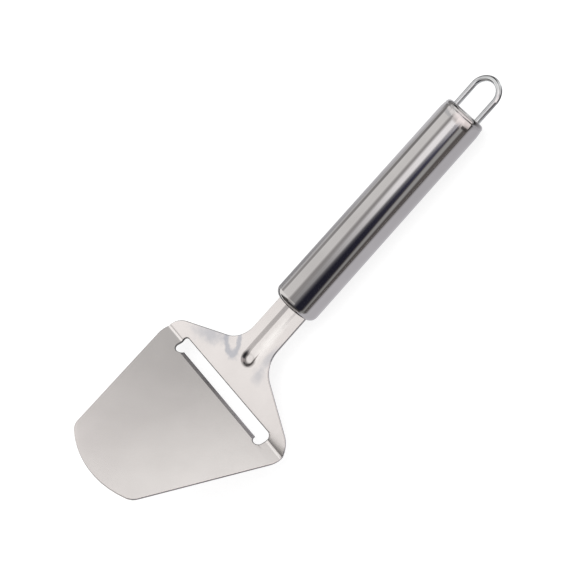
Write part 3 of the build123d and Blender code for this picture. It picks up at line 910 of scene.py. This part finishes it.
class SLICER_OT_handle(bpy.types.Operator):
    """Build the polished tube with its rounded mouth and swaged rear"""

    bl_idname = "slicer.handle"
    bl_label = "Handle tube"

    def execute(self, context):
        light = context.scene.slicer_handle.colour
        swage_y = SEAM_Y - SWAGE_LENGTH
        mouth_y = HANDLE_START_Y + MOUTH_EDGE_RADIUS
        mouth_centre = (mouth_y, TUBE_FRONT_RADIUS - MOUTH_EDGE_RADIUS)
        inner_radius = MOUTH_EDGE_RADIUS - MOUTH_WALL
        rim = (SEAM_Y, TUBE_REAR_RADIUS - SWAGE_DEPTH)
        profile = [(HANDLE_START_Y, MOUTH_RADIUS)] + arc(mouth_centre, MOUTH_EDGE_RADIUS, pi, pi / 2)
        profile += rounded_corner(mouth_centre, (swage_y, TUBE_REAR_RADIUS), rim, SWAGE_RADIUS)
        profile += [rim, (SEAM_Y, BORE_RADIUS - SWAGE_DEPTH), (swage_y, BORE_RADIUS)]
        profile += arc((mouth_y, BORE_RADIUS - inner_radius), inner_radius, pi / 2, pi)
        profile += [(HANDLE_START_Y + MOUTH_WALL, MOUTH_RADIUS)]
        bm = bmesh.new()
        turned_solid(bm, profile)
        piece = mesh_object("polished_tube", bm)
        self.cut_neck_slot(piece)
        # Drawn tube, buffed to a mirror: sharp bands with a little streaking along the handle
        mirror = steel("Mirror polished stainless tube", light, "#c5c3c2", 12, (0.5, 40), (0.05, 0.09), 0.05)
        piece.data.materials.append(mirror)
        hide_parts("handle_tube")
        return {"FINISHED"}

    def cut_neck_slot(self, piece):
        """Cuts the slot that the neck passes through, with the small gap round it."""
        half_width = NECK_HALF_WIDTH + NECK_SLOT_GAP
        low = NECK_Z - SHEET - NECK_SLOT_GAP
        high = NECK_Z + NECK_SLOT_GAP
        size = Matrix.Diagonal((2 * half_width * MM, 2 * MOUTH_EDGE_RADIUS * MM, (high - low) * MM, 1))
        middle = Matrix.Translation(Vector((0, HANDLE_START_Y, (low + high) / 2)) * MM)
        bm = bmesh.new()
        bmesh.ops.create_cube(bm, size=1.0, matrix=middle @ size)
        cutter_mesh = bpy.data.meshes.new("neck slot")
        bm.to_mesh(cutter_mesh)
        bm.free()
        cutter = add_object("neck slot", cutter_mesh)
        slot = piece.modifiers.new("Neck slot", "BOOLEAN")
        slot.operation = "DIFFERENCE"
        slot.solver = "EXACT"
        slot.object = cutter
        whole = piece.data
        cut = bpy.data.meshes.new_from_object(piece.evaluated_get(bpy.context.evaluated_depsgraph_get()))
        if len(cut.polygons) in (0, len(whole.polygons)):
            raise RuntimeError("The neck slot could not be cut in the tube")
        piece.modifiers.clear()
        piece.data = cut
        bpy.data.meshes.remove(whole)
        bpy.data.objects.remove(cutter)
        bpy.data.meshes.remove(cutter_mesh)


class SLICER_OT_cap(bpy.types.Operator):
    """Build the stamped cap that closes the tube's rear"""

    bl_idname = "slicer.cap"
    bl_label = "End cap"

    def execute(self, context):
        light = context.scene.slicer_handle.colour
        rim_radius = TUBE_REAR_RADIUS - SWAGE_DEPTH - CAP_FLANGE_INSET
        seam_radius = rim_radius - CAP_SEAM
        plug_radius = BORE_RADIUS - SWAGE_DEPTH
        front_edge = (SEAM_Y + CAP_SEAM + CAP_SEAM_RADIUS, rim_radius - CAP_SEAM_RADIUS)
        rear_edge = (CAP_FACE_Y - CAP_EDGE_RADIUS, rim_radius - CAP_EDGE_RADIUS)
        profile = [(SOCKET_FOOT_Y, AXIS_GAP), (SOCKET_FOOT_Y, plug_radius), (SEAM_Y, plug_radius)]
        profile += [(SEAM_Y, seam_radius), (SEAM_Y + CAP_SEAM, seam_radius)]
        profile += arc(front_edge, CAP_SEAM_RADIUS, pi, pi / 2)
        profile += arc(rear_edge, CAP_EDGE_RADIUS, pi / 2, 0) + [(CAP_FACE_Y, AXIS_GAP)]
        bm = bmesh.new()
        turned_solid(bm, profile)
        piece = mesh_object("stamped_cap", bm)
        # Cap stamped from sheet and polished with the tube, a little hazier where the buff can't reach
        cap_steel = steel("Polished stamped cap", light, "#bdbbba", 5, (0.3, 0.3), (0.08, 0.14), 0.05)
        piece.data.materials.append(cap_steel)
        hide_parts("end_cap")
        return {"FINISHED"}


class SLICER_OT_plug(bpy.types.Operator):
    """Give the plug behind the tube's mouth its nylon"""

    bl_idname = "slicer.plug"
    bl_label = "Front plug"

    def execute(self, context):
        light = context.scene.slicer_handle.plug_colour
        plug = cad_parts["front_plug"]
        plug.data.materials.clear()
        # Moulded nylon 6: matt black, with the mould's grain drawn at 0.35 mm, coarser than the real one, so it shows
        plug.data.materials.append(moulded_nylon("Moulded black nylon", light, "#1b1b1c", 0.35, (0.5, 0.62), 0.3))
        return {"FINISHED"}


class SLICER_OT_loop(bpy.types.Operator):
    """Build the bent wire loop"""

    bl_idname = "slicer.loop"
    bl_label = "Hanging loop"

    def execute(self, context):
        light = context.scene.slicer_handle.wire_colour
        arch_y = CAP_FACE_Y + LOOP_REACH - WIRE_RADIUS - LOOP_HALF_SPAN
        arch = arc((0, arch_y), LOOP_HALF_SPAN, 0, pi)
        path = [(LOOP_HALF_SPAN, SOCKET_FOOT_Y), *arch, (-LOOP_HALF_SPAN, SOCKET_FOOT_Y)]
        bm = bmesh.new()
        swept_wire(bm, path, WIRE_RADIUS)
        piece = mesh_object("wire_loop", bm)
        # Drawn wire: bright, with lines along it that are drawn coarser than the die leaves them
        piece.data.materials.append(steel("Bright drawn wire", light, "#cccecf", 4, (0.12, 6), (0.07, 0.12), 0.05))
        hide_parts("hanging_loop")
        return {"FINISHED"}


class SLICER_OT_stage(bpy.types.Operator):
    """Set the floor, the lights, the white studio and the camera"""

    bl_idname = "slicer.stage"
    bl_label = "Studio"

    def execute(self, context):
        settings = context.scene.slicer_stage
        context.scene.view_settings.view_transform = "Standard"
        self.add_camera(context, settings)
        self.add_world(context)
        card_glow = card_material("Studio card")
        self.add_floor(settings, card_glow)
        for rank, (name, card) in enumerate(CARDS.items()):
            tent_card("card_" + name, rank, card_glow, **card)
        self.add_soft_box(settings)
        return {"FINISHED"}

    def add_camera(self, context, settings):
        """Camera that looks down at the slicer from its right, rolled about the view axis."""
        flat = cos(settings.elevation)
        back = Vector((sin(settings.azimuth) * flat, -cos(settings.azimuth) * flat, sin(settings.elevation)))
        turn = back.to_track_quat("Z", "Y").to_matrix() @ Matrix.Rotation(settings.roll, 3, "Z")
        place = Vector(CAMERA_AIM) * MM + back * settings.distance
        data = bpy.data.cameras.new("Camera")
        data.lens = settings.focal_length
        data.clip_start = 0.01
        camera = add_object("Camera", data)
        camera.matrix_world = Matrix.Translation(place) @ turn.to_4x4()
        context.scene.camera = camera

    def add_soft_box(self, settings):
        """Soft box above and to the left of the handle, which lays a soft shadow on the floor."""
        lamp = bpy.data.lights.new("Soft box", "AREA")
        lamp.size = settings.lamp_size
        lamp.energy = settings.lamp_power
        soft_box = add_object("Soft box", lamp)
        place = Vector(SOFT_BOX_PLACE)
        soft_box.matrix_world = Matrix.Translation(place) @ place.to_track_quat("Z", "Y").to_matrix().to_4x4()
        soft_box.visible_glossy = False

    def add_world(self, context):
        """White world, which the camera and reflections see at full white."""
        world = bpy.data.worlds.new("White studio")
        context.scene.world = world
        world.use_nodes = True
        world.node_tree.nodes.clear()
        ambient = add_node(world, "Background", {"Color": (1, 1, 1, 1), "Strength": AMBIENT})
        white = add_node(world, "Background", {"Color": (1, 1, 1, 1)})
        mix = add_node(world, "MixShader", {0: seen_directly(world), 1: ambient.outputs[0], 2: white.outputs[0]})
        add_node(world, "OutputWorld", {"Surface": mix.outputs[0]})

    def add_floor(self, settings, card_glow):
        """Pale board under the slicer's lowest point, with the cards that lie beside the handle."""
        lowest = cad_low[2]
        reach = TENT_REACH
        corners = [(-reach, -reach), (reach, -reach), (reach, reach), (-reach, reach)]
        board = floor_material("Pale matt board", settings.floor_colour, settings.floor_lift)
        stage_mesh("floor", [(x, y, lowest) for x, y in corners], [(0, 1, 2, 3)], board)
        for rank, (name, card) in enumerate(FLOOR_CARDS.items()):
            floor_card("card_" + name, lowest + FLOOR_SPACING * (rank + 1), card_glow, **card)


class SLICER_PT_panel(bpy.types.Panel):
    """Lists the slicer's settings and pieces"""

    bl_idname = "SLICER_PT_panel"
    bl_label = "Cheese slicer"
    bl_space_type = "VIEW_3D"
    bl_region_type = "UI"
    bl_category = "Cheese slicer"

    def draw(self, context):
        for name, group in GROUPS.items():
            box = self.layout.box()
            for key in group.__annotations__:
                box.prop(getattr(context.scene, name), key)
        for operator in OPERATORS:
            self.layout.operator(operator.bl_idname)


OPERATORS = (SLICER_OT_head, SLICER_OT_handle, SLICER_OT_cap, SLICER_OT_plug, SLICER_OT_loop, SLICER_OT_stage)
GROUPS = {"slicer_sheet": SheetSettings, "slicer_handle": HandleSettings, "slicer_stage": StageSettings}
CLASSES = (*GROUPS.values(), *OPERATORS, SLICER_PT_panel)


def register():
    for cls in CLASSES:
        bpy.utils.register_class(cls)
    for name, group in GROUPS.items():
        setattr(bpy.types.Scene, name, bpy.props.PointerProperty(type=group))


def unregister():
    for name in GROUPS:
        delattr(bpy.types.Scene, name)
    for cls in reversed(CLASSES):
        bpy.utils.unregister_class(cls)


def main():
    register()
    bpy.ops.slicer.head()
    bpy.ops.slicer.handle()
    bpy.ops.slicer.cap()
    bpy.ops.slicer.plug()
    bpy.ops.slicer.loop()
    bpy.ops.slicer.stage()


if __name__ == "__main__":
    main()
